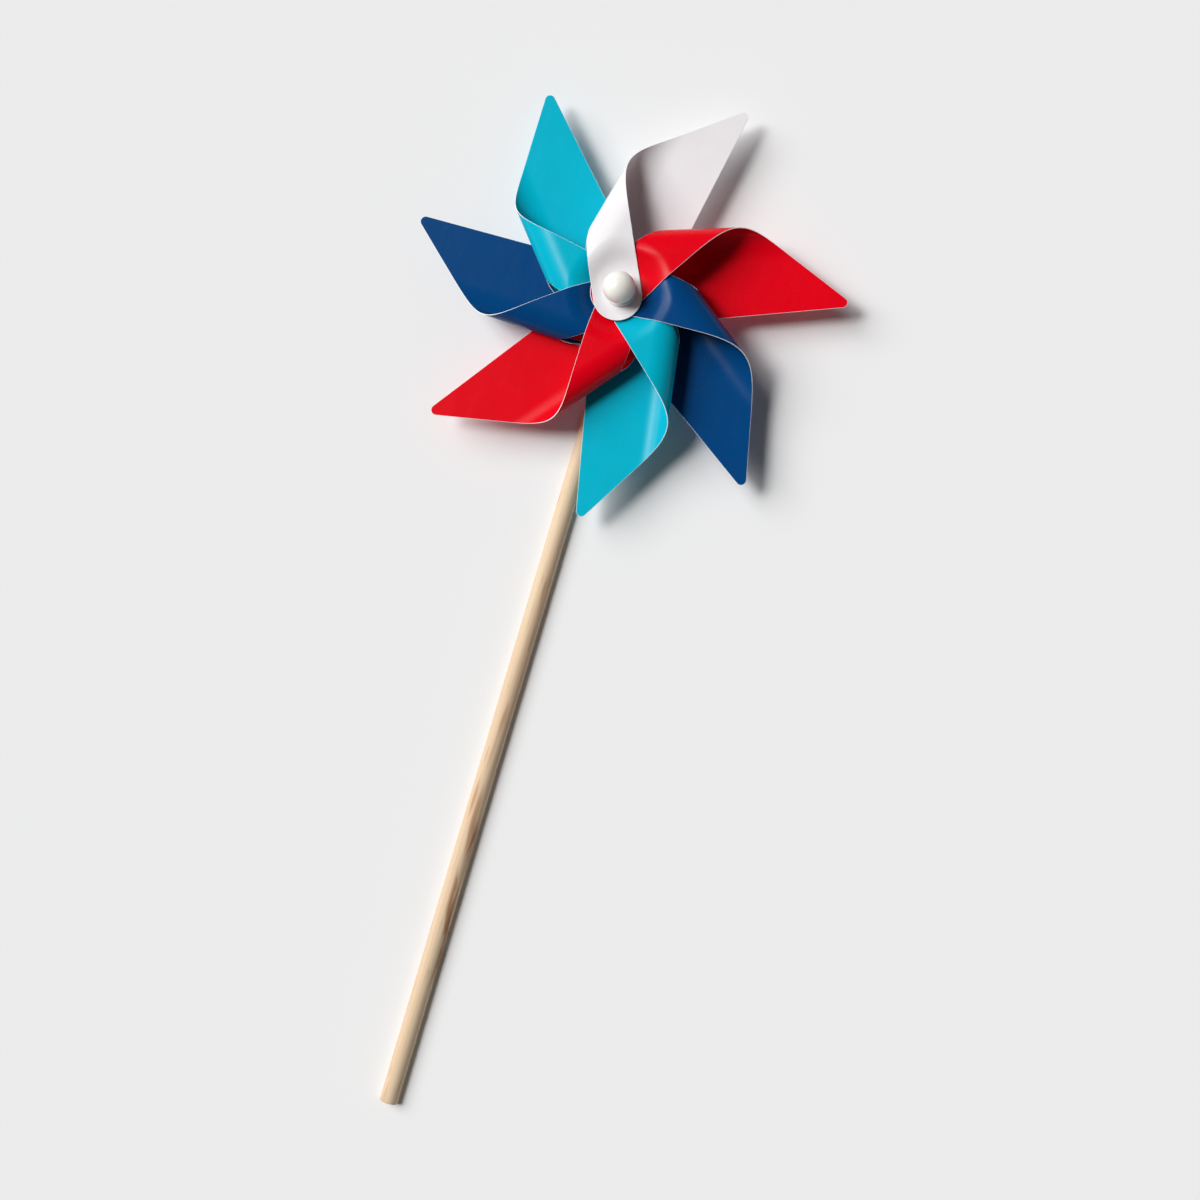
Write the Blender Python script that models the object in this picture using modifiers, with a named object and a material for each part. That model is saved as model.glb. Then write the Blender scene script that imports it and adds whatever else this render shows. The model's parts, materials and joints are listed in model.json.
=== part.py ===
"""A toy pinwheel: seven curled plastic petals on a pin through a wooden stick.

Metres, +Z up. The stick stands along +Z with the middle of its bottom end at the
origin. The wheel is in front of the stick, towards -Y, and turns on the pin, which
lies along Y.
"""

import math

import bmesh
import bpy
from mathutils import Matrix, Vector

MM = 0.001

# Stick
STICK_RADIUS = 3.175 * MM
STICK_LENGTH = 299.0 * MM
STICK_EDGE_RADIUS = 0.5 * MM
AXLE_HEIGHT = 287.0 * MM

# Axle and what is on it, from the stick's centre line forwards
PIN_RADIUS = 1.0 * MM
PIN_CHAMFER = 0.4 * MM
DRILL_LENGTH = 24.0 * MM
RUNNING_GAP = 0.08 * MM
TOUCH_GAP = 0.3 * MM
BEAD_RADIUS = 3.4 * MM
BEAD_LENGTH = 3.4 * MM
WASHER_RADIUS = 6.5 * MM
WASHER_THICKNESS = 0.8 * MM
SLEEVE_RADIUS = 3.6 * MM
COLLAR_RADIUS = 5.25 * MM
RING_EDGE = 0.25 * MM
COLLAR_THICKNESS = 1.2 * MM
BALL_RADIUS = 5.5 * MM
BALL_NECK_RADIUS = 3.6 * MM
BALL_NECK_LENGTH = 1.0 * MM
BALL_SOCKET_DEPTH = 5.0 * MM
BACK_CAP_RADIUS = 3.0 * MM
BACK_CAP_LENGTH = 2.2 * MM
BACK_CAP_STRAIGHT = 1.0 * MM

# Petals: one flat pattern, cut from sheet
SHEET = 0.3 * MM
LAYER_PITCH = 0.55 * MM
STACK_GAP = 6.6 * MM
PETAL_LENGTH = 76.5 * MM
TIP_RADIUS = 1.8 * MM
REAR_TAB_RADIUS = 10.0 * MM
FRONT_TAB_RADIUS = 8.3 * MM
TAB_SHIFT = 2.0 * MM
HOLE_SPACING = 50.5 * MM
HOLE_RADIUS = 1.6 * MM
NOTCH_ANGLE = math.radians(38.0)
NOTCH_RADIUS = 1.2 * MM
EDGE_BOW = 0.3 * MM
TIP_SKEW = math.radians(3.0)
CURL_SOFTNESS = 0.4
CURL_STEPS = 16
CURL_TABLE_STEPS = 400
CURL_RISE = 4.5 * MM
HUB_FLAT_RADIUS = 6.5 * MM
HUB_CONE_RADIUS = 18.0 * MM
HUB_SOFTNESS = 0.55
HUB_GRID = 2.0 * MM
SLIT_WIDTH = 1.4 * MM
SLIT_START = 4.0 * MM
SLIT_END = 32.0 * MM

TEAL = (0.0, 0.45, 0.64)
NAVY = (0.0, 0.045, 0.17)
RED = (0.71, 0.0, 0.009)
WHITE = (0.86, 0.86, 0.88)
IVORY = (0.79, 0.78, 0.72)
BIRCH = (0.79, 0.62, 0.42)
STEEL = (0.62, 0.62, 0.63)

# Name, colour, direction from the hub to the tip in degrees anticlockwise from +X as
# seen from the front, place in the rear stack counted backwards, place in the front
# stack counted forwards
PETALS = (
    ("petal_red_lower_left", RED, 227.0, 0, 2),
    ("petal_teal_bottom", TEAL, 275.5, 1, 3),
    ("petal_navy_lower_right", NAVY, 319.0, 2, 4),
    ("petal_red_right", RED, 14.5, 3, 5),
    ("petal_white", WHITE, 73.0, 4, 6),
    ("petal_teal_top", TEAL, 126.5, 5, 0),
    ("petal_navy_left", NAVY, 174.0, 6, 1),
)
SLIT_PETAL = "petal_red_lower_left"
SLIT_MAKER = "petal_navy_left"

# Places along the axle, measured forwards from the stick's centre line
BEAD_BACK = STICK_RADIUS + TOUCH_GAP
WASHER_BACK = BEAD_BACK + BEAD_LENGTH + TOUCH_GAP
STACK_HEIGHT = (len(PETALS) - 1) * LAYER_PITCH
REAR_STACK_BACK = WASHER_BACK + WASHER_THICKNESS + TOUCH_GAP + SHEET / 2
REAR_STACK_FRONT = REAR_STACK_BACK + STACK_HEIGHT
FRONT_STACK_BACK = REAR_STACK_FRONT + STACK_GAP + SHEET
FRONT_STACK_FRONT = FRONT_STACK_BACK + STACK_HEIGHT
SLEEVE_BACK = REAR_STACK_FRONT + SHEET / 2 + TOUCH_GAP
SLEEVE_FRONT = FRONT_STACK_BACK - SHEET / 2 - TOUCH_GAP
COLLAR_BACK = FRONT_STACK_FRONT + SHEET / 2 + TOUCH_GAP
BALL_BACK = COLLAR_BACK + COLLAR_THICKNESS + TOUCH_GAP
BALL_CENTRE = BALL_BACK + BALL_NECK_LENGTH + math.sqrt(BALL_RADIUS**2 - BALL_NECK_RADIUS**2)
BACK_CAP_FRONT = -STICK_RADIUS - TOUCH_GAP


def clear_scene():
    for obj in list(bpy.data.objects):
        bpy.data.objects.remove(obj, do_unlink=True)


def new_collection(name):
    collection = bpy.data.collections.new(name)
    bpy.context.scene.collection.children.link(collection)
    return collection


def new_material(name, colour, roughness, metallic=0.0):
    material = bpy.data.materials.new(name)
    material.use_nodes = True
    shader = material.node_tree.nodes["Principled BSDF"]
    shader.inputs["Base Color"].default_value = (*colour, 1.0)
    shader.inputs["Roughness"].default_value = roughness
    shader.inputs["Metallic"].default_value = metallic
    return material


def add_object(name, mesh, material, collection, parent=None):
    mesh.materials.clear()
    mesh.materials.append(material)
    obj = bpy.data.objects.new(name, mesh)
    obj.parent = parent
    collection.objects.link(obj)
    return obj


def add_empty(name, location, collection):
    empty = bpy.data.objects.new(name, None)
    empty.location = location
    empty.empty_display_size = 0.02
    collection.objects.link(empty)
    return empty


def turned(name, profile, steps, material, collection, parent=None):
    """A profile of (radius, height) points, top to bottom, turned round its own Z."""
    mesh = bpy.data.meshes.new(name)
    points = [(radius, 0.0, height) for radius, height in profile]
    edges = [(i, i + 1) for i in range(len(points) - 1)]
    mesh.from_pydata(points, edges, [])
    obj = add_object(name, mesh, material, collection, parent)
    screw = obj.modifiers.new("Turn", "SCREW")
    screw.steps = steps
    screw.render_steps = steps
    screw.use_merge_vertices = True
    screw.merge_threshold = 0.00001
    return obj


def forwards(obj, distance):
    """Lays a turned piece on the axle, its own +Z towards the front."""
    obj.rotation_euler = (math.radians(90), 0.0, 0.0)
    obj.location = (0.0, -distance, 0.0)


def arc(centre, radius, start, end, count):
    """Points on an arc; the angles are in degrees."""
    points = []
    for i in range(count + 1):
        angle = math.radians(start + (end - start) * i / count)
        points.append((centre[0] + radius * math.cos(angle), centre[1] + radius * math.sin(angle)))
    return points


def ring_profile(inner, outer, length, edge):
    """A tube's closed section from 0 to length, its outer corners rounded."""
    top = arc((outer - edge, length - edge), edge, 90, 0, 3)
    bottom = arc((outer - edge, edge), edge, 0, -90, 3)
    return [(inner, 0.0), (inner, length), *top, *bottom, (inner, 0.0)]


# Stick -----------------------------------------------------------------------


def make_stick(material, collection, cutters):
    edge = STICK_EDGE_RADIUS
    top = arc((STICK_RADIUS - edge, STICK_LENGTH - edge), edge, 90, 0, 4)
    bottom = arc((STICK_RADIUS - edge, edge), edge, 0, -90, 4)
    profile = [(0.0, STICK_LENGTH), *top, *bottom, (0.0, 0.0)]
    stick = turned("stick", profile, 32, material, collection)
    add_cut(stick, "Axle hole", make_drill("axle_hole_cutter", PIN_RADIUS + TOUCH_GAP, 0.0, cutters))


def make_drill(name, radius, forward, cutters):
    """A cylinder on the axle, its middle this far in front of the stick."""
    bpy.ops.mesh.primitive_cylinder_add(
        vertices=20,
        radius=radius,
        depth=DRILL_LENGTH,
        location=(0.0, -forward, AXLE_HEIGHT),
        rotation=(math.radians(90), 0.0, 0.0),
    )
    return as_cutter(bpy.context.object, name, cutters)


def as_cutter(obj, name, cutters):
    """Moves a primitive to the cutters, which are not part of the pinwheel."""
    obj.name = name
    for collection in list(obj.users_collection):
        collection.objects.unlink(obj)
    cutters.objects.link(obj)
    obj.hide_render = True
    obj.display_type = "WIRE"
    return obj


# Hub -------------------------------------------------------------------------


def make_pin(material, collection, hub):
    back = BACK_CAP_FRONT - BACK_CAP_LENGTH / 2
    front = BALL_BACK + BALL_SOCKET_DEPTH - TOUCH_GAP
    end = PIN_RADIUS - PIN_CHAMFER
    profile = [(0.0, front), (end, front), (PIN_RADIUS, front - PIN_CHAMFER)]
    profile += [(PIN_RADIUS, back + PIN_CHAMFER), (end, back), (0.0, back)]
    pin = turned("axle_pin", profile, 24, material, collection, hub)
    forwards(pin, 0.0)


def make_back_cap(material, collection, hub):
    """A blind cap pushed on the rear end of the pin, its domed side to the rear."""
    bore = PIN_RADIUS + TOUCH_GAP
    floor = BACK_CAP_LENGTH / 2 + TOUCH_GAP
    dome = arc((0.0, 0.0), 1.0, 90, 0, 8)
    rise = BACK_CAP_LENGTH - BACK_CAP_STRAIGHT
    outer = [(BACK_CAP_RADIUS * x, BACK_CAP_STRAIGHT + rise * y) for x, y in dome]
    profile = [*outer, (BACK_CAP_RADIUS, 0.0), (bore, 0.0), (bore, floor), (0.0, floor)]
    cap = turned("back_cap", profile, 28, material, collection, hub)
    cap.rotation_euler = (math.radians(-90), 0.0, 0.0)
    cap.location = (0.0, -BACK_CAP_FRONT, 0.0)


def make_ball_cap(material, collection, hub):
    """The ball nose: a short neck, then a ball, with a blind socket for the pin."""
    centre = BALL_CENTRE - BALL_BACK
    low = math.degrees(math.asin((BALL_NECK_LENGTH - centre) / BALL_RADIUS))
    ball = arc((0.0, centre), BALL_RADIUS, 90, low, 18)
    bore = PIN_RADIUS + TOUCH_GAP / 3
    ball[0] = (0.0, centre + BALL_RADIUS)
    neck = [(BALL_NECK_RADIUS, 0.0), (bore, 0.0)]
    profile = [*ball, *neck, (bore, BALL_SOCKET_DEPTH), (0.0, BALL_SOCKET_DEPTH)]
    forwards(turned("ball_cap", profile, 36, material, collection, hub), BALL_BACK)


def make_ring(name, back, front, radius, material, collection, parent):
    """A ring that runs on the pin."""
    profile = ring_profile(PIN_RADIUS + RUNNING_GAP, radius, front - back, RING_EDGE)
    forwards(turned(name, profile, 28, material, collection, parent), back)


# Petals ----------------------------------------------------------------------


def tangent_points(first, first_radius, second, second_radius):
    """Where the right-hand outer tangent of two circles touches each of them."""
    across = second - first
    turn = math.acos((first_radius - second_radius) / across.length)
    normal = Matrix.Rotation(-turn, 2) @ across.normalized()
    return first + first_radius * normal, second + second_radius * normal


def arc_between(centre, start, end, count):
    """Points on an arc from start to end, anticlockwise."""
    radius = (start - centre).length
    begin = math.atan2(start.y - centre.y, start.x - centre.x)
    sweep = (math.atan2(end.y - centre.y, end.x - centre.x) - begin) % math.tau
    angles = [begin + sweep * i / count for i in range(count + 1)]
    return [(centre.x + radius * math.cos(a), centre.y + radius * math.sin(a)) for a in angles]


def petal_outline():
    """The flat pattern, anticlockwise: x along the curl's axis, y round the curl."""
    rear = Vector((-TAB_SHIFT, 0.0))
    front = Vector((-TAB_SHIFT, HOLE_SPACING))
    reach = PETAL_LENGTH - TIP_RADIUS
    tip = Vector((reach * math.cos(TIP_SKEW), -reach * math.sin(TIP_SKEW)))
    rear_out, tip_in = tangent_points(rear, REAR_TAB_RADIUS, tip, TIP_RADIUS)
    tip_out, front_in = tangent_points(tip, TIP_RADIUS, front, FRONT_TAB_RADIUS)
    rising = Vector((math.cos(NOTCH_ANGLE), math.sin(NOTCH_ANGLE)))
    falling = Vector((rising.x, -rising.y))
    rear_in = rear + REAR_TAB_RADIUS * Vector((-rising.y, rising.x))
    front_out = front - FRONT_TAB_RADIUS * Vector((rising.y, rising.x))
    apex = notch_apex(rear_in, rising, front_out, falling)
    root = apex - Vector((NOTCH_RADIUS / rising.y, 0.0))
    below = root + NOTCH_RADIUS * Vector((rising.y, -rising.x))
    above = root + NOTCH_RADIUS * Vector((rising.y, rising.x))
    outline = arc_between(rear, rear_in, rear_out, 14)
    outline += arc_between(tip, tip_in, tip_out, 8)
    outline += bowed(tip_out, front_in, EDGE_BOW, 8)
    outline += arc_between(front, front_in, front_out, 16)
    outline += reversed(arc_between(root, below, above, 4))
    return outline


def bowed(start, end, bow, count):
    """Points between start and end, on a curve that bows out to the right of the line."""
    along = end - start
    out = Vector((along.y, -along.x)).normalized()
    points = []
    for i in range(1, count):
        share = i / count
        point = start + share * along + 4 * share * (1 - share) * bow * out
        points.append((point.x, point.y))
    return points


def notch_apex(first, first_way, second, second_way):
    """Where the two sides of the notch meet."""
    gap = second - first
    share = (gap.x * second_way.y - gap.y * second_way.x) / first_way.cross(second_way)
    return first + share * first_way


def flat_petal(curl_start, curl_end):
    """The flat pattern, cut across at each step of the curl and in a grid at the hub."""
    flat = bmesh.new()
    flat.faces.new([flat.verts.new((x, y, 0.0)) for x, y in petal_outline()])
    for i in range(CURL_STEPS + 1):
        crease(flat, flat.faces[:], "y", curl_start + (curl_end - curl_start) * i / CURL_STEPS)
    end = HOLE_SPACING + FRONT_TAB_RADIUS
    steps = int((end - curl_end) / HUB_GRID)
    for i in range(1, steps + 1):
        crease(flat, flat.faces[:], "y", curl_end + (end - curl_end) * i / (steps + 1))
    low = -math.floor((FRONT_TAB_RADIUS + TAB_SHIFT) / HUB_GRID)
    for i in range(low, round(HUB_CONE_RADIUS / HUB_GRID) + 1):
        front = [face for face in flat.faces if face.calc_center_median().y > curl_end]
        crease(flat, front, "x", i * HUB_GRID)
    return flat


def crease(flat, faces, axis, place):
    """Cuts the faces along the line where this coordinate has this value."""
    edges = {edge for face in faces for edge in face.edges}
    verts = {vert for face in faces for vert in face.verts}
    geometry = sorted(verts, key=lambda item: item.index) + sorted(edges, key=lambda item: item.index)
    point = (place, 0.0, 0.0) if axis == "x" else (0.0, place, 0.0)
    normal = (1.0, 0.0, 0.0) if axis == "x" else (0.0, 1.0, 0.0)
    bmesh.ops.bisect_plane(flat, geom=geometry + faces, dist=1e-7, plane_co=point, plane_no=normal)
    flat.verts.index_update()
    flat.edges.index_update()


def curl_angle(share):
    """How far the sheet has turned, 0 to pi, this share of the way through the curl."""
    return math.pi * (share - CURL_SOFTNESS * math.sin(math.tau * share) / math.tau)


def curl_table(height):
    """Points (distance along, y, z) through a curl that rises by this height."""
    fine = CURL_TABLE_STEPS
    rise = sum(math.sin(curl_angle((i + 0.5) / fine)) for i in range(fine)) / fine
    width = height / rise
    along = (HOLE_SPACING - width) / 2
    table = [(along, along, 0.0)]
    for i in range(fine):
        angle = curl_angle((i + 0.5) / fine)
        step = width / fine
        s, y, z = table[-1]
        table.append((s + step, y + step * math.cos(angle), z + step * math.sin(angle)))
    return table


def curled(table, x, s):
    """Where a point of the flat pattern goes, at distance s round the curl."""
    if s <= table[0][0]:
        return x, s, 0.0
    if s >= table[-1][0]:
        y = HOLE_SPACING - s
        return x, y, table[-1][2] - hub_drop(x, y)
    place = (s - table[0][0]) / (table[-1][0] - table[0][0]) * (len(table) - 1)
    low = min(int(place), len(table) - 2)
    share = place - low
    _, y, z = (start + share * (end - start) for start, end in zip(table[low], table[low + 1]))
    return x, y, z - (hub_drop(x, y) if s > HOLE_SPACING / 2 else 0.0)


def hub_drop(x, y):
    """How far the curl's front comes down to its pinned end: a shallow cone at the hub."""
    share = (math.hypot(x, y) - HUB_FLAT_RADIUS) / (HUB_CONE_RADIUS - HUB_FLAT_RADIUS)
    share = min(max(share, 0.0), 1.0)
    return CURL_RISE * (1 - share + HUB_SOFTNESS * math.sin(math.tau * share) / math.tau)


def petal_mesh(name, height):
    """The flat pattern bent round the curl."""
    table = curl_table(height + CURL_RISE)
    flat = flat_petal(table[0][0], table[-1][0])
    for vert in flat.verts:
        vert.co = curled(table, vert.co.x, vert.co.y)
    bmesh.ops.recalc_face_normals(flat, faces=flat.faces[:])
    mesh = bpy.data.meshes.new(name)
    flat.to_mesh(mesh)
    flat.free()
    return mesh


def petal_turn(degrees):
    """Petal axes in the hub: x along the curl's axis, y anticlockwise, z to the front."""
    turn = Matrix.Rotation(-math.radians(degrees) - TIP_SKEW, 4, "Y")
    return turn @ Matrix.Rotation(math.radians(90), 4, "X")


def petal_height(rear_place, front_place):
    """From the middle of the sheet at its rear hole to the middle at its front hole."""
    return STACK_GAP + SHEET + (rear_place + front_place) * LAYER_PITCH


def make_petal(name, degrees, rear_place, front_place, drill, material, collection, hub):
    mesh = petal_mesh(name, petal_height(rear_place, front_place))
    petal = add_object(name, mesh, material, collection, hub)
    forward = REAR_STACK_FRONT - rear_place * LAYER_PITCH
    petal.matrix_basis = Matrix.Translation((0.0, -forward, 0.0)) @ petal_turn(degrees)
    solidify = petal.modifiers.new("Sheet", "SOLIDIFY")
    solidify.thickness = SHEET
    solidify.offset = 0.0
    solidify.use_even_offset = True
    add_cut(petal, "Pin holes", drill)
    return petal


def add_cut(obj, name, cutter):
    cut = obj.modifiers.new(name, "BOOLEAN")
    cut.operation = "DIFFERENCE"
    cut.solver = "EXACT"
    cut.object = cutter


def slit_petal(petals, cutters, hub):
    """The first petal of the rear stack passes through the curl of the last one."""
    name, _, degrees, rear_place, front_place = next(row for row in PETALS if row[0] == SLIT_MAKER)
    table = curl_table(petal_height(rear_place, front_place) + CURL_RISE)
    level = rear_place * LAYER_PITCH
    crossing = next(row for row in table if row[2] >= level)
    bpy.ops.mesh.primitive_cube_add(size=1.0)
    box = as_cutter(bpy.context.object, "slit_cutter", cutters)
    box.data.transform(Matrix.Diagonal((SLIT_END - SLIT_START, SLIT_WIDTH, 3 * SHEET, 1.0)))
    box.parent = hub
    place = Matrix.Translation(((SLIT_START + SLIT_END) / 2, crossing[1], 0.0))
    box.matrix_basis = Matrix.Translation((0.0, -REAR_STACK_FRONT, 0.0)) @ petal_turn(degrees) @ place
    add_cut(petals[SLIT_PETAL], "Slit", box)


def smooth_shading(collection):
    for obj in collection.objects:
        if obj.type == "MESH":
            obj.data.shade_smooth()
            obj.data.set_sharp_from_angle(angle=math.radians(35))


def main():
    clear_scene()
    parts = new_collection("pinwheel")
    cutters = new_collection("cutters")
    hub = add_empty("hub_axis", (0.0, 0.0, AXLE_HEIGHT), parts)
    wheel = add_empty("wheel", (0.0, 0.0, 0.0), parts)
    wheel.parent = hub

    make_stick(new_material("birch", BIRCH, 0.6), parts, cutters)
    make_pin(new_material("steel", STEEL, 0.3, 1.0), parts, hub)
    make_back_cap(new_material("back_cap_plastic", IVORY, 0.3), parts, hub)
    make_ball_cap(new_material("ball_plastic", IVORY, 0.2), parts, hub)
    bead = new_material("bead_plastic", IVORY, 0.3)
    make_ring("standoff_bead", BEAD_BACK, BEAD_BACK + BEAD_LENGTH, BEAD_RADIUS, bead, parts, hub)
    rings = (
        ("rear_washer", WASHER_BACK, WASHER_BACK + WASHER_THICKNESS, WASHER_RADIUS),
        ("spacer_sleeve", SLEEVE_BACK, SLEEVE_FRONT, SLEEVE_RADIUS),
        ("front_collar", COLLAR_BACK, COLLAR_BACK + COLLAR_THICKNESS, COLLAR_RADIUS),
    )
    for name, back, front, radius in rings:
        ring = new_material(f"{name}_plastic", IVORY, 0.3)
        make_ring(name, back, front, radius, ring, parts, wheel)

    drill = make_drill("petal_hole_cutter", HOLE_RADIUS, (REAR_STACK_BACK + FRONT_STACK_FRONT) / 2, cutters)
    petals = {}
    for name, colour, degrees, rear_place, front_place in PETALS:
        sheet = new_material(f"{name}_sheet", colour, 0.35)
        petals[name] = make_petal(name, degrees, rear_place, front_place, drill, sheet, parts, wheel)
    slit_petal(petals, cutters, wheel)
    smooth_shading(parts)


main()
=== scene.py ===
# Pinwheel: seven curled plastic petals on a steel pin through a birch stick.
# Metres, Z up. The wheel faces -Y and turns on the pin, which lies along Y.
import bmesh
import bpy
import json
import math
from mathutils import Matrix, Vector


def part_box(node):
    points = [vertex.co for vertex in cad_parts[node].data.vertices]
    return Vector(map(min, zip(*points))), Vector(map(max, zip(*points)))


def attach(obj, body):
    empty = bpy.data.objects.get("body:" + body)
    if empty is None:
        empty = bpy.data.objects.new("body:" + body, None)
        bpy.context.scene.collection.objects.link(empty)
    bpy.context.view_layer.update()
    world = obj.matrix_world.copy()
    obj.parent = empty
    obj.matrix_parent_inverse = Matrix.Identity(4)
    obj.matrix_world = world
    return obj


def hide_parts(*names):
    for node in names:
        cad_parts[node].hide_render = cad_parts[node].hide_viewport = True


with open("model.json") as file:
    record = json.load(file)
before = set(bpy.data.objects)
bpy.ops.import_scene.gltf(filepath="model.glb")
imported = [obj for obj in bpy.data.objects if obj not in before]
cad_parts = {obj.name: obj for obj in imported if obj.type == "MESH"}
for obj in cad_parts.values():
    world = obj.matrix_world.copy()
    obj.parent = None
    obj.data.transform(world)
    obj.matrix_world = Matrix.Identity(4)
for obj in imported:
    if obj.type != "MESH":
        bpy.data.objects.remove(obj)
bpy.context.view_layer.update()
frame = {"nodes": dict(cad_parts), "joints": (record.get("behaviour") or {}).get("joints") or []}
mm = 0.001
hair = 1e-7  # a length below this counts as none
axle = Vector(frame["joints"][0]["pos_m"])
print("frame loaded with", len(frame["nodes"]), "nodes")


class Wire:
    # what a socket gives: sums and products of wires add the Math nodes that work them out
    def __init__(self, graph, socket):
        self.graph = graph
        self.socket = socket

    def math(self, operation, first, second):
        return self.graph.node("ShaderNodeMath", {"operation": operation}, {0: first, 1: second})

    def __add__(self, other):
        return self.math("ADD", self, other)

    def __radd__(self, other):
        return self.math("ADD", other, self)

    def __sub__(self, other):
        return self.math("SUBTRACT", self, other)

    def __rsub__(self, other):
        return self.math("SUBTRACT", other, self)

    def __mul__(self, other):
        return self.math("MULTIPLY", self, other)

    def __rmul__(self, other):
        return self.math("MULTIPLY", other, self)

    def ramp(self, low, high, start=0.0, stop=1.0):
        # start below low, stop above high, smooth between
        values = {"Value": self, "From Min": low, "From Max": high, "To Min": start, "To Max": stop}
        return self.graph.node("ShaderNodeMapRange", {"interpolation_type": "SMOOTHSTEP"}, values)


class Graph:
    # a node tree, in which one method makes every node
    def __init__(self, tree):
        self.tree = tree
        tree.nodes.clear()

    def node(self, kind, settings=None, values=None, output=0):
        made = self.tree.nodes.new(kind)
        for name, value in (settings or {}).items():
            setattr(made, name, value)
        for name, value in (values or {}).items():
            self.put(made.inputs[name], value)
        return Wire(self, made.outputs[output]) if made.outputs else None

    def put(self, socket, value):
        if isinstance(value, Wire):
            self.tree.links.new(value.socket, socket)
        else:
            socket.default_value = value


class Finish(Graph):
    # one material: fixed values go on the shader's own sockets, the rest come from nodes
    def __init__(self, name, fixed):
        self.material = bpy.data.materials.new(name)
        self.material.use_nodes = True
        super().__init__(self.material.node_tree)
        self.face = self.node("ShaderNodeBsdfPrincipled", None, fixed)

    def done(self, varied, surface=None):
        # varied gives the shader what changes over the surface
        for name, wire in varied.items():
            self.put(self.face.socket.node.inputs[name], wire)
        self.node("ShaderNodeOutputMaterial", None, {"Surface": surface or self.face})
        return self.material

    def place(self, stretch=(1.0, 1.0, 1.0), shift=(0.0, 0.0, 0.0)):
        where = self.node("ShaderNodeTexCoord", output="Object")
        values = {"Vector": where, "Scale": stretch, "Location": shift}
        return self.node("ShaderNodeMapping", None, values)

    def noise(self, scale, detail=2.0, where=None):
        values = {"Vector": where or self.place(), "Scale": scale, "Detail": detail}
        return self.node("ShaderNodeTexNoise", None, values)

    def mix(self, amount, first, second):
        return self.node("ShaderNodeMix", {"data_type": "RGBA"}, {0: amount, 6: first, 7: second}, 2)

    def bump(self, height, strength, distance):
        values = {"Height": height, "Strength": strength, "Distance": distance}
        return self.node("ShaderNodeBump", None, values)


def shade(red, green, blue):
    # a display colour, 0 to 255 each, as the linear colour that the shader takes
    def linear(value):
        share = value / 255
        return share / 12.92 if share <= 0.04045 else ((share + 0.055) / 1.055) ** 2.4
    return (linear(red), linear(green), linear(blue), 1.0)


def dimmed(colour, by):
    return (colour[0] * by, colour[1] * by, colour[2] * by, 1.0)


def sheetFinish(name, colour, look):
    # satin plastic film: slight mottling, fine grain, soft smears in the gloss
    finish = Finish(name, {"Specular IOR Level": look["gloss"]})
    cloud = finish.noise(*look["cloudNoise"])
    grain = finish.noise(*look["grainNoise"])
    smear = finish.noise(*look["smearNoise"], finish.place(look["smearStretch"]))
    dark, light = dimmed(colour, look["dark"]), dimmed(colour, look["light"])
    body = finish.mix(cloud.ramp(*look["cloudRamp"]), dark, light)
    fine = finish.mix(grain.ramp(*look["grainRamp"]) * look["speck"], body, look["dust"])
    dull = look["roughness"] + look["smear"] * (smear - 0.5) + look["grit"] * (grain - 0.5)
    tooth = finish.bump(grain, look["bump"], look["tooth"])
    return finish.done({"Base Color": fine, "Roughness": dull, "Normal": tooth})


def edgeFinish(name, colour, look):
    # the cut edge is coloured almost white over the sheet's colour, whiter in patches along its length
    finish = Finish(name, {"Specular IOR Level": look["gloss"]})
    patches = finish.noise(*look["patchNoise"])
    pale = finish.mix(look["pale"], colour, look["white"])
    # whiter in patches along the edge, by a noise
    patchy = finish.mix(patches.ramp(*look["patchRamp"]), pale, finish.mix(look["whiter"], pale, look["white"]))
    return finish.done({"Base Color": patchy, "Roughness": look["roughness"] + look["grit"] * patches})


def mouldedFinish(name, look):
    # moulded plastic: almost even colour, faint ripple and dust
    finish = Finish(name, {"Specular IOR Level": look["gloss"], "Subsurface Weight": look["depth"],
                           "Subsurface Radius": look["glow"], "Subsurface Scale": look["skin"]})
    cloud = finish.noise(*look["cloudNoise"])
    grain = finish.noise(*look["grainNoise"])
    dark, dust = dimmed(look["colour"], look["dark"]), dimmed(look["colour"], look["dust"])
    body = finish.mix(cloud.ramp(*look["cloudRamp"]), dark, look["colour"])
    fine = finish.mix(grain.ramp(*look["grainRamp"]) * look["speck"], body, dust)
    dull = look["roughness"] + look["smear"] * (cloud - 0.5)
    ripple = finish.bump(cloud + look["grit"] * grain, look["bump"], look["ripple"])
    return finish.done({"Base Color": fine, "Roughness": dull, "Normal": ripple})


def steelFinish(name, look):
    # drawn wire: lines round the pin
    finish = Finish(name, {"Metallic": 1.0})
    lines = finish.noise(*look["lineNoise"], finish.place(look["lineStretch"]))
    tone = finish.mix(lines.ramp(*look["lineRamp"]), look["dark"], look["light"])
    drawn = finish.bump(lines, look["bump"], look["depth"])
    dull = look["roughness"] + look["smear"] * lines
    return finish.done({"Base Color": tone, "Roughness": dull, "Normal": drawn})


def addPiece(name, mesh, materials, body, node):
    piece = bpy.data.objects.new(name, mesh)
    bpy.context.scene.collection.objects.link(piece)
    for material in materials:
        mesh.materials.append(material)
    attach(piece, body)
    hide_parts(node)
    return piece


def arcPoints(centre, radius, start, end, count):
    # points on an arc, in degrees
    points = []
    for i in range(count + 1):
        angle = math.radians(start + (end - start) * i / count)
        points.append((centre[0] + radius * math.cos(angle), centre[1] + radius * math.sin(angle)))
    return points


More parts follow.
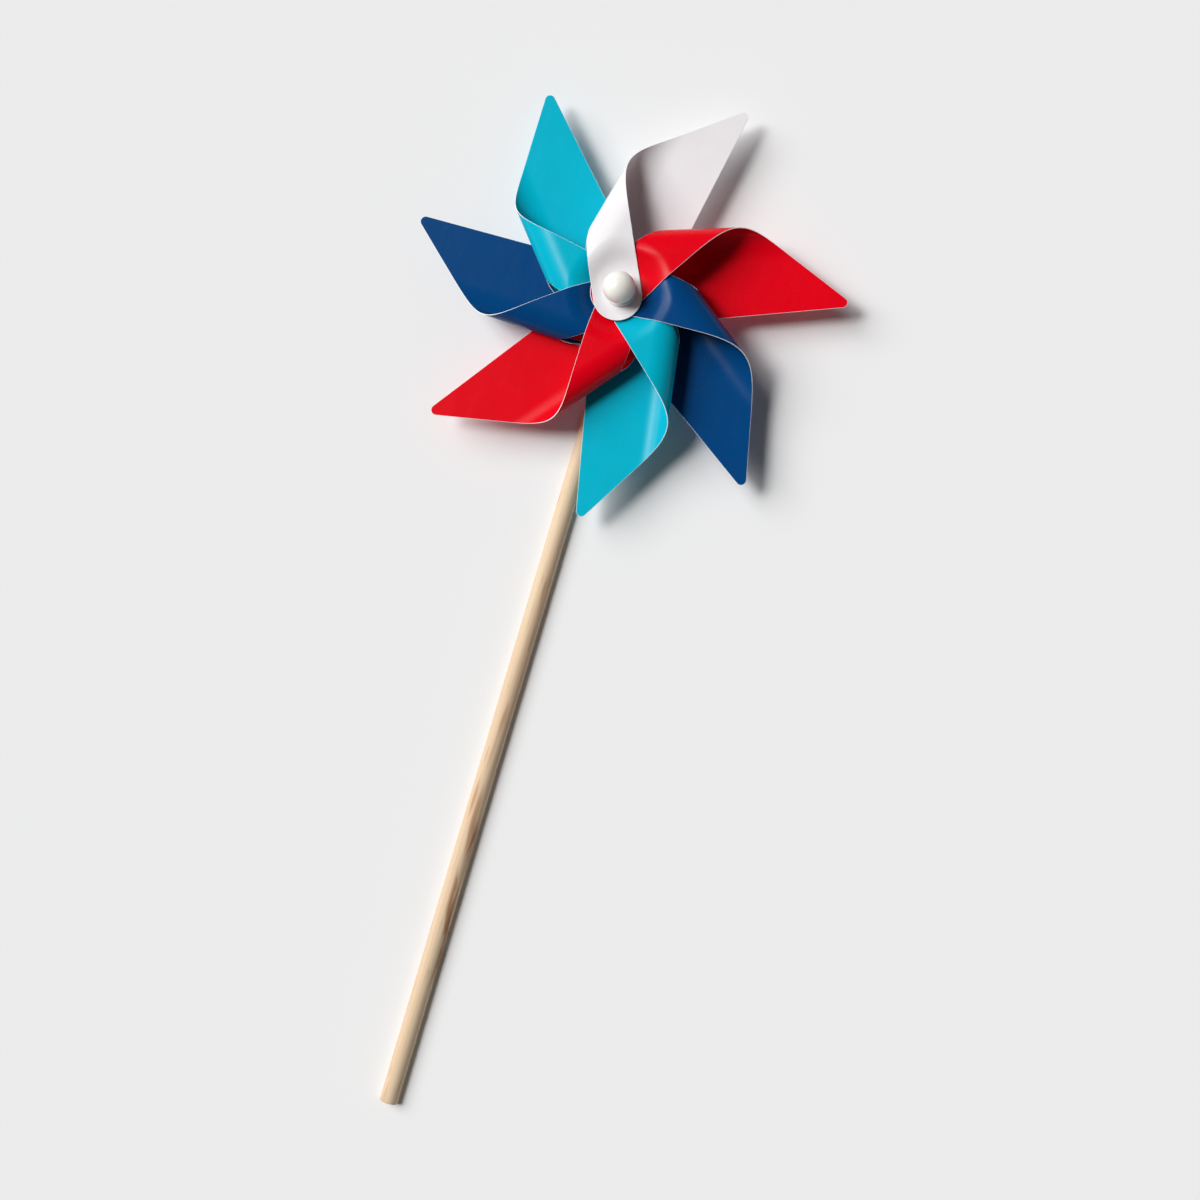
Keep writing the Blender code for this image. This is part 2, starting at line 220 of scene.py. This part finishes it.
def spunMesh(name, profile, steps, closed=False, sharp=38):
    # turns a profile of (radius, height) points round Z; closed joins its last point to its first
    form = bmesh.new()
    rings = []
    for radius, height in profile:
        if radius < hair:
            rings.append([form.verts.new((0.0, 0.0, height))])
            continue
        angles = [math.tau * i / steps for i in range(steps)]
        rings.append([form.verts.new((radius * math.cos(a), radius * math.sin(a), height)) for a in angles])
    pairs = list(zip(rings, rings[1:]))
    if closed:
        pairs.append((rings[-1], rings[0]))
    for upper, lower in pairs:
        for i in range(steps):
            j = (i + 1) % steps
            corners = [upper[i % len(upper)], lower[i % len(lower)]]
            corners += [lower[j % len(lower)], upper[j % len(upper)]]
            corners = [vert for k, vert in enumerate(corners) if vert not in corners[:k]]
            if len(corners) > 2:
                form.faces.new(corners)
    bmesh.ops.recalc_face_normals(form, faces=form.faces[:])
    mesh = bpy.data.meshes.new(name)
    form.to_mesh(mesh)
    form.free()
    mesh.shade_smooth()
    mesh.set_sharp_from_angle(angle=math.radians(sharp))
    return mesh


def onAxle(mesh, back, facing=-1):
    # lays a turned mesh along the axle with its foot at this Y, its own +Z towards -Y or +Y
    mesh.transform(Matrix.Rotation(math.radians(-90 * facing), 4, "X"))
    mesh.transform(Matrix.Translation((axle.x, back, axle.z)))
    return mesh


def makeCutter(name, mesh):
    cutter = bpy.data.objects.new(name, mesh)
    bpy.context.scene.collection.objects.link(cutter)
    return cutter


def makeDrill(name, radius, length, back, steps):
    # a rod along the axle, for cutting a round hole
    rod = spunMesh(name, [(0.0, length), (radius, length), (radius, 0.0), (0.0, 0.0)], steps)
    return makeCutter(name, onAxle(rod, back))


def cutFrom(piece, name, cutter):
    cut = piece.modifiers.new(name, "BOOLEAN")
    cut.object = cutter
    cut.solver = "EXACT"


def settle(piece):
    # the modifiers' result becomes the piece's own mesh
    graph = bpy.context.evaluated_depsgraph_get()
    piece.data = bpy.data.meshes.new_from_object(piece.evaluated_get(graph), depsgraph=graph)
    piece.modifiers.clear()


def roundedRing(inner, outer, length, edge, steps=5):
    # a tube's closed section, both outer corners and both inner corners rounded
    lip = edge / 2
    profile = arcPoints((inner + lip, lip), lip, 270, 180, steps)
    profile += arcPoints((inner + lip, length - lip), lip, 180, 90, steps)
    profile += arcPoints((outer - edge, length - edge), edge, 90, 0, steps)
    profile += arcPoints((outer - edge, edge), edge, 0, -90, steps)
    return profile


sheet = {
    "thick": 0.3 * mm, "length": 76.5 * mm, "tipRadius": 1.8 * mm, "tipSkew": math.radians(3.0),
    "rearTab": 10.0 * mm, "frontTab": 8.3 * mm, "tabShift": 2.0 * mm, "holeSpacing": 50.5 * mm,
    "hole": 1.6 * mm, "notchAngle": math.radians(38.0), "notchRadius": 1.2 * mm, "edgeBow": 0.3 * mm,
    "softness": 0.4, "rise": 4.5 * mm, "flatRadius": 6.5 * mm, "coneRadius": 18.0 * mm, "coneSoftness": 0.55,
    "tableSteps": 400, "curlSteps": 64, "holeSteps": 48, "grid": 0.8 * mm, "bowStep": 2.0 * mm,
    "arcStep": 0.45 * mm, "fewestSteps": 6, "weld": 0.15 * mm,
    "edgeRound": 0.085 * mm, "edgeSteps": 2, "edgeTurn": math.radians(50.0), "sharpTurn": math.radians(12.0),
}
# in every look, a noise is its scale and detail, and a ramp is where it starts and stops
sheetLook = {
    "gloss": 0.11, "roughness": 0.26, "smear": 0.1, "grit": 0.08, "bump": 0.3, "tooth": 0.02 * mm,
    "dark": 0.97, "light": 1.02, "speck": 0.004, "dust": (0.3, 0.32, 0.35, 1.0),
    "cloudNoise": (55.0, 3.0), "grainNoise": (3200.0, 2.0), "smearNoise": (240.0, 3.0),
    "cloudRamp": (0.3, 0.7), "grainRamp": (0.35, 0.75), "smearStretch": (1.0, 1.0, 0.35),
}
edgeLook = {
    "gloss": 0.4, "roughness": 0.45, "grit": 0.2, "pale": 0.95, "whiter": 0.5, "white": (0.9, 0.91, 0.93, 1.0),
    "patchNoise": (900.0, 2.0), "patchRamp": (0.4, 0.7),
}
teal = (0.0, 0.415, 0.56, 1.0)
navy = (0.0, 0.0505, 0.183, 1.0)
red = (0.71, 0.0, 0.008, 1.0)
white = (0.77, 0.745, 0.76, 1.0)
# each petal: its colour, and where its tip points, in degrees anticlockwise from +X as seen from the front
petals = {
    "petal_red_lower_left": (red, 227.0),
    "petal_teal_bottom": (teal, 275.5),
    "petal_navy_lower_right": (navy, 319.0),
    "petal_red_right": (red, 14.5),
    "petal_white": (white, 73.0),
    "petal_teal_top": (teal, 126.5),
    "petal_navy_left": (navy, 174.0),
}
slit = {
    "in": "petal_red_lower_left", "by": "petal_navy_left",
    "width": 1.4 * mm, "depth": 4 * sheet["thick"], "start": 4.0 * mm, "end": 32.0 * mm,
}


def tangentPoints(first, firstRadius, second, secondRadius):
    # where the right-hand outer tangent of two circles touches each of them
    across = second - first
    turn = math.acos((firstRadius - secondRadius) / across.length)
    normal = Matrix.Rotation(-turn, 2) @ across.normalized()
    return first + firstRadius * normal, second + secondRadius * normal


def arcBetween(centre, start, end):
    # points on an arc from start to end, anticlockwise
    radius = (start - centre).length
    begin = math.atan2(start.y - centre.y, start.x - centre.x)
    sweep = (math.atan2(end.y - centre.y, end.x - centre.x) - begin) % math.tau
    count = max(sheet["fewestSteps"], round(radius * sweep / sheet["arcStep"]))
    angles = [begin + sweep * i / count for i in range(count + 1)]
    return [Vector((centre.x + radius * math.cos(a), centre.y + radius * math.sin(a))) for a in angles]


def bowedEdge(start, end, bow):
    # points between start and end, on a curve that bows out to the right of the line
    along = end - start
    out = Vector((along.y, -along.x)).normalized()
    count = round(along.length / sheet["bowStep"])
    shares = [i / count for i in range(1, count)]
    return [start + share * along + 4 * share * (1 - share) * bow * out for share in shares]


def petalOutline():
    # the flat pattern, anticlockwise: x along the curl's axis, y round the curl
    rear = Vector((-sheet["tabShift"], 0.0))
    front = Vector((-sheet["tabShift"], sheet["holeSpacing"]))
    reach = sheet["length"] - sheet["tipRadius"]
    tip = Vector((reach * math.cos(sheet["tipSkew"]), -reach * math.sin(sheet["tipSkew"])))
    rearOut, tipIn = tangentPoints(rear, sheet["rearTab"], tip, sheet["tipRadius"])
    tipOut, frontIn = tangentPoints(tip, sheet["tipRadius"], front, sheet["frontTab"])
    rising = Vector((math.cos(sheet["notchAngle"]), math.sin(sheet["notchAngle"])))
    falling = Vector((rising.x, -rising.y))
    rearIn = rear + sheet["rearTab"] * Vector((-rising.y, rising.x))
    frontOut = front - sheet["frontTab"] * Vector((rising.y, rising.x))
    gap = frontOut - rearIn
    share = (gap.x * falling.y - gap.y * falling.x) / rising.cross(falling)
    root = rearIn + share * rising - Vector((sheet["notchRadius"] / rising.y, 0.0))
    below = root + sheet["notchRadius"] * Vector((rising.y, -rising.x))
    above = root + sheet["notchRadius"] * Vector((rising.y, rising.x))
    outline = arcBetween(rear, rearIn, rearOut)
    outline += arcBetween(tip, tipIn, tipOut)
    outline += bowedEdge(tipOut, frontIn, sheet["edgeBow"])
    outline += arcBetween(front, frontIn, frontOut)
    outline += reversed(arcBetween(root, below, above))
    return outline


def curlAngle(share):
    # how far the sheet has turned, 0 to pi, this share of the way through the curl
    return math.pi * (share - sheet["softness"] * math.sin(math.tau * share) / math.tau)


def curlTable(height):
    # points (distance along, y, z) through a curl that rises by this height
    count = sheet["tableSteps"]
    angles = [curlAngle((i + 0.5) / count) for i in range(count)]
    width = height * count / sum(math.sin(angle) for angle in angles)
    step = width / count
    along = (sheet["holeSpacing"] - width) / 2
    table = [(along, along, 0.0)]
    for angle in angles:
        s, y, z = table[-1]
        table.append((s + step, y + step * math.cos(angle), z + step * math.sin(angle)))
    return table


def hubDrop(x, y):
    # how far the front of the curl comes down to its pinned end: a shallow cone at the hub
    share = (math.hypot(x, y) - sheet["flatRadius"]) / (sheet["coneRadius"] - sheet["flatRadius"])
    share = min(max(share, 0.0), 1.0)
    return sheet["rise"] * (1 - share + sheet["coneSoftness"] * math.sin(math.tau * share) / math.tau)


def curled(table, x, s):
    # where a point of the flat pattern goes, at distance s round the curl
    if s <= table[0][0]:
        return Vector((x, s, 0.0))
    if s >= table[-1][0]:
        y = sheet["holeSpacing"] - s
        return Vector((x, y, table[-1][2] - hubDrop(x, y)))
    place = (s - table[0][0]) / (table[-1][0] - table[0][0]) * (len(table) - 1)
    low = min(int(place), len(table) - 2)
    _, y, z = Vector(table[low]).lerp(Vector(table[low + 1]), place - low)
    return Vector((x, y, z - (hubDrop(x, y) if s > sheet["holeSpacing"] / 2 else 0.0)))


def crease(flat, faces, axis, place):
    # cuts the faces along the line where this coordinate has this value
    geometry = set(faces)
    for face in faces:
        geometry.update(face.edges)
        geometry.update(face.verts)
    point = [0.0, 0.0, 0.0]
    normal = [0.0, 0.0, 0.0]
    point[axis] = place
    normal[axis] = 1.0
    bmesh.ops.bisect_plane(flat, geom=list(geometry), dist=hair, plane_co=point, plane_no=normal)


def flatPetal(table):
    # the flat pattern, cut across at each step of the curl and in a grid where the hub pulls it in
    flat = bmesh.new()
    flat.faces.new([flat.verts.new((point.x, point.y, 0.0)) for point in petalOutline()])
    start, end = table[0][0], table[-1][0]
    for i in range(-1, sheet["curlSteps"] + 2):
        crease(flat, flat.faces[:], 1, start + (end - start) * i / sheet["curlSteps"])
    top = sheet["holeSpacing"] + sheet["frontTab"]
    rows = int((top - end) / sheet["grid"])
    for i in range(1, rows + 1):
        crease(flat, flat.faces[:], 1, end + (top - end) * i / (rows + 1))
    columns = int(sheet["coneRadius"] / sheet["grid"]) + 1
    for i in range(-columns, columns + 1):
        pulled = [face for face in flat.faces if face.calc_center_median().y > sheet["holeSpacing"] / 2]
        crease(flat, pulled, 0, i * sheet["grid"])
    bmesh.ops.remove_doubles(flat, verts=flat.verts[:], dist=sheet["weld"])
    return flat


def petalTurn(degrees):
    # petal axes in the hub: x along the curl's axis, y anticlockwise, z to the front
    turn = Matrix.Rotation(-math.radians(degrees) - sheet["tipSkew"], 4, "Y")
    return turn @ Matrix.Rotation(math.radians(90), 4, "X")


def petalPlace(node, degrees):
    # where the rear end of this petal lies on the axle, and how high its curl is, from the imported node
    low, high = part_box(node)
    rearY = high.y - sheet["thick"] / 2
    height = high.y - low.y - sheet["thick"]
    return Matrix.Translation((axle.x, rearY, axle.z)) @ petalTurn(degrees), height


def makePetal(node, colour, degrees):
    place, height = petalPlace(node, degrees)
    table = curlTable(height)
    form = flatPetal(table)
    for vert in form.verts:
        vert.co = curled(table, vert.co.x, vert.co.y)
    bmesh.ops.recalc_face_normals(form, faces=form.faces[:])
    mesh = bpy.data.meshes.new(node + "_sheet")
    form.to_mesh(mesh)
    form.free()
    mesh.transform(place)
    mesh.shade_smooth()
    film = sheetFinish(node + "_film", colour, sheetLook)
    cut = edgeFinish(node + "_cut_edge", colour, edgeLook)
    piece = addPiece(node + "_sheet", mesh, [film, cut], "wheel", node)
    solidify = piece.modifiers.new("thickness", "SOLIDIFY")
    solidify.thickness = sheet["thick"]
    solidify.offset = 0.0
    solidify.use_even_offset = True
    solidify.material_offset_rim = 1
    return piece


def finishEdges(piece):
    # the cut edges are slightly rounded, and only they are
    bevel = piece.modifiers.new("edge", "BEVEL")
    bevel.width = sheet["edgeRound"]
    bevel.segments = sheet["edgeSteps"]
    bevel.use_clamp_overlap = False
    bevel.limit_method = "ANGLE"
    bevel.angle_limit = sheet["edgeTurn"]
    bevel.material = 1
    settle(piece)
    piece.data.set_sharp_from_angle(angle=sheet["sharpTurn"])


def makeHoleCutter():
    low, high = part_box("axle_pin")
    return makeDrill("hole_cutter", sheet["hole"], high.y - low.y, high.y, sheet["holeSteps"])


def makeSlitCutter():
    # the petal at the back of the stack passes through the curl of the one at its front
    place, height = petalPlace(slit["by"], petals[slit["by"]][1])
    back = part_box(slit["in"])[1].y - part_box(slit["by"])[1].y
    crossing = next(row for row in curlTable(height) if row[2] >= abs(back))
    form = bmesh.new()
    bmesh.ops.create_cube(form, size=1.0)
    mesh = bpy.data.meshes.new("slit_cutter")
    form.to_mesh(mesh)
    form.free()
    mesh.transform(Matrix.Diagonal((slit["end"] - slit["start"], slit["width"], slit["depth"], 1.0)))
    mesh.transform(Matrix.Translation(((slit["start"] + slit["end"]) / 2, crossing[1], crossing[2])))
    mesh.transform(place)
    return makeCutter("slit_cutter", mesh)


holeCutter = makeHoleCutter()
slitCutter = makeSlitCutter()
for node, (colour, degrees) in petals.items():
    piece = makePetal(node, colour, degrees)
    cutFrom(piece, "pin holes", holeCutter)
    if node == slit["in"]:
        cutFrom(piece, "slit", slitCutter)
    finishEdges(piece)
bpy.data.objects.remove(holeCutter)
bpy.data.objects.remove(slitCutter)
print("petals made:", len(petals))


# the look that the ball, the rings and the back cap share
hubLook = {
    "colour": shade(240, 238, 230), "gloss": 0.5, "roughness": 0.3, "smear": 0.1,
    "depth": 0.15, "glow": (2.0, 1.6, 1.2), "skin": 0.3 * mm, "dark": 0.965, "dust": 0.8, "speck": 0.12,
    "cloudNoise": (260.0, 2.0), "grainNoise": (2600.0, 2.0), "cloudRamp": (0.3, 0.7),
    "grainRamp": (0.62, 0.8), "grit": 0.2, "bump": 0.15, "ripple": 0.05 * mm,
}
ball = {
    "steps": 96, "rows": 48, "neckRadius": 3.6 * mm, "neck": 1.0 * mm, "edge": 0.15 * mm,
    "bore": 1.1 * mm, "socket": 5.0 * mm, "seam": 0.05 * mm, "seamWidth": 0.12 * mm,
}


def makeBall():
    # a ball on a short neck, blind bored for the pin, with a faint mould seam round it
    low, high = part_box("ball_cap")
    radius = (high.z - low.z) / 2 - ball["seam"]
    centre = high.y - low.y - radius
    start = math.degrees(math.asin((ball["neck"] - centre) / radius))
    profile = []
    for r, z in arcPoints((0.0, centre), radius, 90, start, ball["rows"]):
        ridge = ball["seam"] * math.exp(-((z - centre) / ball["seamWidth"]) ** 2)
        profile.append((max(r, 0.0) + ridge, z))
    profile[0] = (0.0, centre + radius)
    neck = ball["neckRadius"]
    profile += [(neck, ball["edge"]), (neck - ball["edge"], 0.0), (ball["bore"], 0.0)]
    profile += [(ball["bore"], ball["socket"]), (0.0, ball["socket"])]
    mesh = onAxle(spunMesh("ball_nose", profile, ball["steps"]), high.y)
    addPiece("ball_nose", mesh, [mouldedFinish("ball_plastic", hubLook)], "root", "ball_cap")


ring = {"steps": 80, "bore": 1.08 * mm}
# each ring on the pin: its node, the body that it moves with, and how far its edges are rounded
rings = {
    "hub_collar": ("front_collar", "wheel", 0.4 * mm),
    "hub_sleeve": ("spacer_sleeve", "wheel", 0.3 * mm),
    "hub_washer": ("rear_washer", "wheel", 0.3 * mm),
    "hub_bead": ("standoff_bead", "root", 1.2 * mm),
}


def makeRing(name, node, body, edge):
    low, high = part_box(node)
    section = roundedRing(ring["bore"], (high.z - low.z) / 2, high.y - low.y, edge)
    mesh = onAxle(spunMesh(name, section, ring["steps"], True), high.y)
    addPiece(name, mesh, [mouldedFinish(name + "_plastic", hubLook)], body, node)


backCap = {"steps": 64, "rows": 24, "edge": 0.2 * mm, "bore": 1.3 * mm}


def makeBackCap():
    # a blind cap, domed to the rear, its wall as thick as its dome is deep
    low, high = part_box("back_cap")
    radius = (high.z - low.z) / 2
    length = high.y - low.y
    wall = length / 2
    dome = arcPoints((0.0, 0.0), 1.0, 90, 0, backCap["rows"])
    profile = [(radius * x, wall + (length - wall) * y) for x, y in dome]
    profile[0] = (0.0, length)
    profile += [(radius, backCap["edge"]), (radius - backCap["edge"], 0.0)]
    profile += [(backCap["bore"], 0.0), (backCap["bore"], wall), (0.0, wall)]
    mesh = onAxle(spunMesh("rear_cap", profile, backCap["steps"]), low.y, 1)
    addPiece("rear_cap", mesh, [mouldedFinish("rear_cap_plastic", hubLook)], "root", "back_cap")


pin = {"steps": 40, "rows": 6, "edge": 0.4 * mm}
pinLook = {
    "dark": shade(176, 177, 180), "light": shade(212, 212, 214), "roughness": 0.22, "smear": 0.2,
    "lineNoise": (900.0, 3.0), "lineStretch": (0.15, 6.0, 0.15), "lineRamp": (0.3, 0.7),
    "bump": 0.3, "depth": 0.01 * mm,
}


def makePin():
    low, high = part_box("axle_pin")
    radius = (high.z - low.z) / 2
    length = high.y - low.y
    edge = pin["edge"]
    tip = arcPoints((radius - edge, length - edge), edge, 90, 0, pin["rows"])
    foot = arcPoints((radius - edge, edge), edge, 0, -90, pin["rows"])
    mesh = onAxle(spunMesh("steel_pin", [(0.0, length), *tip, *foot, (0.0, 0.0)], pin["steps"]), high.y)
    addPiece("steel_pin", mesh, [steelFinish("drawn_steel", pinLook)], "root", "axle_pin")


makeBall()
for name, (node, body, edge) in rings.items():
    makeRing(name, node, body, edge)
makeBackCap()
makePin()
print("hub made")


dowel = {
    "steps": 72, "rows": 150, "edge": 0.5 * mm, "edgeRows": 6, "bore": 1.3 * mm, "boreSteps": 40,
    # how far out of round, and its waves: strength, lobes round the stick, turn per metre along it
    "wobble": 0.05 * mm, "waves": ((1.0, 2, 31.0), (0.6, 3, -83.0)),
}
# each grain is a noise, then how little it changes along the stick, then where it is taken from
birch = {
    "gloss": 0.25, "roughness": 0.65, "smear": 0.2, "bump": 0.4, "depth": 0.05 * mm,
    "pale": shade(216, 194, 163), "mid": shade(212, 184, 153), "tan": shade(194, 158, 124),
    "brown": shade(166, 112, 72),
    "warp": (9.0, 2.0, 1.0, (0.0, 0.0, 0.0)), "warpShare": 0.3,
    "bands": (330.0, 3.0, 0.03, (0.0, 0.0, 0.0)), "bandRamp": (0.35, 0.65),
    "fibres": (1500.0, 3.0, 0.025, (0.0, 0.0, 0.0)), "fibreRamp": (0.5, 0.72), "fibreShare": 0.35,
    "streaks": (260.0, 2.0, 0.09, (0.02, 0.013, 0.0)), "streakRamp": (0.62, 0.74), "streakShare": 0.6,
    "flecks": (1100.0, 1.0, 0.07, (0.1, 0.0, 0.0)), "fleckRamp": (0.7, 0.78), "fleckShare": 0.55,
    "streaksAndShade": (420.0, 2.0, 0.16, (0.3, 0.1, 0.0)), "streaksAndShadeRamp": (0.44, 0.62), "streaksAndShadeShare": 0.85,
    # the browner stretch: where it starts and stops up the stick and across it; keeping it to the +X side,
    # away from the lamps, is partly painted shade
    "streakAndShadeFoot": (40.0 * mm, 52.0 * mm), "streakAndShadeTop": (93.0 * mm, 105.0 * mm), "shadedSide": (-0.4 * mm, 1.4 * mm),
}


def birchFinish(name):
    # straight grain along Z: pale and tan bands, fine fibres, a few brown flecks, and low down a browner
    # stretch kept to the +X side, partly the wood's own brown streaks and partly painted shade on the side
    # turned from the lamps
    finish = Finish(name, {"Specular IOR Level": birch["gloss"]})

    def grain(key):
        scale, detail, along, shift = birch[key]
        return finish.noise(scale, detail, finish.place((1.0, 1.0, along), shift))
    warp, bands, fibres = grain("warp"), grain("bands"), grain("fibres")
    tone = bands + birch["warpShare"] * (warp - 0.5)
    base = finish.mix(tone.ramp(*birch["bandRamp"]), birch["mid"], birch["pale"])
    lined = finish.mix(fibres.ramp(*birch["fibreRamp"]) * birch["fibreShare"], base, birch["tan"])
    streaks = grain("streaks").ramp(*birch["streakRamp"]) * birch["streakShare"]
    streaked = finish.mix(streaks, lined, birch["brown"])
    flecks = grain("flecks").ramp(*birch["fleckRamp"]) * birch["fleckShare"]
    flecked = finish.mix(flecks, streaked, birch["brown"])
    where = finish.node("ShaderNodeTexCoord", output="Object")
    # painted shade, in part: the brown streaks low down are kept to the +X side, which the lamps leave in
    # shade
    side = finish.node("ShaderNodeSeparateXYZ", None, {0: where}, "X").ramp(*birch["shadedSide"])
    up = finish.node("ShaderNodeSeparateXYZ", None, {0: where}, "Z")
    streakAndShadeBand = up.ramp(*birch["streakAndShadeFoot"]) * (1.0 - up.ramp(*birch["streakAndShadeTop"]))
    streaksAndShade = grain("streaksAndShade").ramp(*birch["streaksAndShadeRamp"]) * birch["streaksAndShadeShare"]
    streakedAndShaded = finish.mix(side * streakAndShadeBand * streaksAndShade, flecked, birch["brown"])
    dull = birch["roughness"] + birch["smear"] * (fibres - 0.5)
    raised = finish.bump(fibres, birch["bump"], birch["depth"])
    return finish.done({"Base Color": streakedAndShaded, "Roughness": dull, "Normal": raised})


def makeStick():
    # a turned dowel with eased ends, very slightly out of round, drilled for the pin
    low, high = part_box("stick")
    radius = (high.x - low.x) / 2
    edge = dowel["edge"]
    rows = [low.z + edge + (high.z - low.z - 2 * edge) * i / dowel["rows"] for i in range(dowel["rows"] + 1)]
    profile = [(0.0, high.z), *arcPoints((radius - edge, high.z - edge), edge, 90, 0, dowel["edgeRows"])]
    profile += [(radius, z) for z in reversed(rows[1:-1])]
    profile += [*arcPoints((radius - edge, low.z + edge), edge, 0, -90, dowel["edgeRows"]), (0.0, low.z)]
    mesh = spunMesh("birch_stick", profile, dowel["steps"])
    most = sum(strength for strength, lobes, twist in dowel["waves"])
    for vert in mesh.vertices:
        turn = math.atan2(vert.co.y, vert.co.x)
        wave = 0.0
        for strength, lobes, twist in dowel["waves"]:
            wave += strength * math.sin(lobes * turn + twist * vert.co.z)
        shrink = 1 - dowel["wobble"] / radius * (1 + wave / most) / 2
        vert.co.x *= shrink
        vert.co.y *= shrink
    piece = addPiece("birch_stick", mesh, [birchFinish("birch")], "root", "stick")
    drill = makeDrill("drill", dowel["bore"], 4 * radius, 2 * radius, dowel["boreSteps"])
    cutFrom(piece, "pin hole", drill)
    settle(piece)
    bpy.data.objects.remove(drill)


makeStick()
print("stick made")


studio = {
    "size": 6.0, "behindStick": 1.8 * mm, "paper": 0.8, "dim": 0.995, "blue": 1.004, "roughness": 0.9,
    "toothNoise": (800.0, 3.0),
    # the room's light: its strength over the wheel, in front, and behind, and how bright it looks
    "ambient": 0.14, "frontShade": 0.01, "behind": 0.45, "seen": 0.83,
    "frontRamp": (-1.0, -0.55), "behindRamp": (-0.1, 0.5),
}
# each lamp: strength, degrees off the line of sight, degrees turned up from the left, softness in degrees
lamps = {"window": (1.28, 30.0, 0.0, 17.0), "screen": (2.64, 44.0, 14.0, 42.0)}


def makeBackdrop():
    # a sheet of paper that the stick presses into a little, clear when seen from behind
    bpy.ops.mesh.primitive_plane_add(size=studio["size"])
    paper = bpy.context.object
    paper.name = "backdrop"
    paper.rotation_euler = (math.radians(90), 0.0, 0.0)
    paper.location = (0.0, studio["behindStick"], 0.0)
    paper.visible_shadow = False
    finish = Finish("paper", {"Roughness": studio["roughness"], "Specular IOR Level": 0.0})
    tooth = finish.noise(*studio["toothNoise"])
    grey = studio["paper"]
    dim = grey * studio["dim"]
    tone = finish.mix(tooth, (dim, dim, dim, 1.0), (grey, grey, grey * studio["blue"], 1.0))
    behind = finish.node("ShaderNodeNewGeometry", output="Backfacing")
    clear = finish.node("ShaderNodeBsdfTransparent")
    both = finish.node("ShaderNodeMixShader", None, {0: behind, 1: finish.face, 2: clear})
    paper.data.materials.append(finish.done({"Base Color": tone}, both))


def makeLamp(name, strength, turn, lift, softness):
    # uniform light from the left and the front
    lamp = bpy.data.lights.new(name, "SUN")
    lamp.energy = strength
    lamp.angle = math.radians(softness)
    light = bpy.data.objects.new(name, lamp)
    light.rotation_mode = "QUATERNION"
    turn, lift = math.radians(turn), math.radians(lift)
    way = Vector((math.sin(turn) * math.cos(lift), math.cos(turn), -math.sin(turn) * math.sin(lift)))
    light.rotation_quaternion = way.to_track_quat("-Z", "Y")
    bpy.context.scene.collection.objects.link(light)


def makeWorld():
    # a pale room, which lights the wheel less from the front than from behind
    world = bpy.data.worlds.new("room")
    world.use_nodes = True
    bpy.context.scene.world = world
    graph = Graph(world.node_tree)
    way = graph.node("ShaderNodeTexCoord", output="Generated")
    ahead = graph.node("ShaderNodeSeparateXYZ", None, {0: way}, "Y")
    front = ahead.ramp(*studio["frontRamp"], studio["frontShade"], studio["ambient"])
    light = front + ahead.ramp(*studio["behindRamp"], 0.0, studio["behind"])
    seen = graph.node("ShaderNodeLightPath", output="Is Camera Ray")
    strength = seen * studio["seen"] + (1.0 - seen) * light
    glow = graph.node("ShaderNodeBackground", None, {"Color": (1.0, 1.0, 1.0, 1.0), "Strength": strength})
    graph.node("ShaderNodeOutputWorld", None, {"Surface": glow})


makeBackdrop()
for name, lamp in lamps.items():
    makeLamp(name, *lamp)
makeWorld()
bpy.context.scene.view_settings.view_transform = "Standard"
print("stage made")


view = {
    "target": (0.0208, 0.0, 0.1858), "distance": 0.75, "yaw": 5.82, "pitch": 2.07, "roll": 16.51,
    "lens": 65.2, "sensor": 36.0, "nearest": 0.05,
}


def makeCamera():
    yaw, pitch, roll = (math.radians(view[key]) for key in ("yaw", "pitch", "roll"))
    back = Vector((math.sin(yaw) * math.cos(pitch), -math.cos(yaw) * math.cos(pitch), -math.sin(pitch)))
    camera = bpy.data.objects.new("camera", bpy.data.cameras.new("camera"))
    camera.data.lens = view["lens"]
    camera.data.sensor_width = view["sensor"]
    camera.data.clip_start = view["nearest"]
    camera.location = Vector(view["target"]) + view["distance"] * back
    camera.rotation_mode = "QUATERNION"
    level = (-back).to_track_quat("-Z", "Y")
    camera.rotation_quaternion = level @ Matrix.Rotation(roll, 3, "Z").to_quaternion()
    bpy.context.scene.collection.objects.link(camera)
    bpy.context.scene.camera = camera


makeCamera()
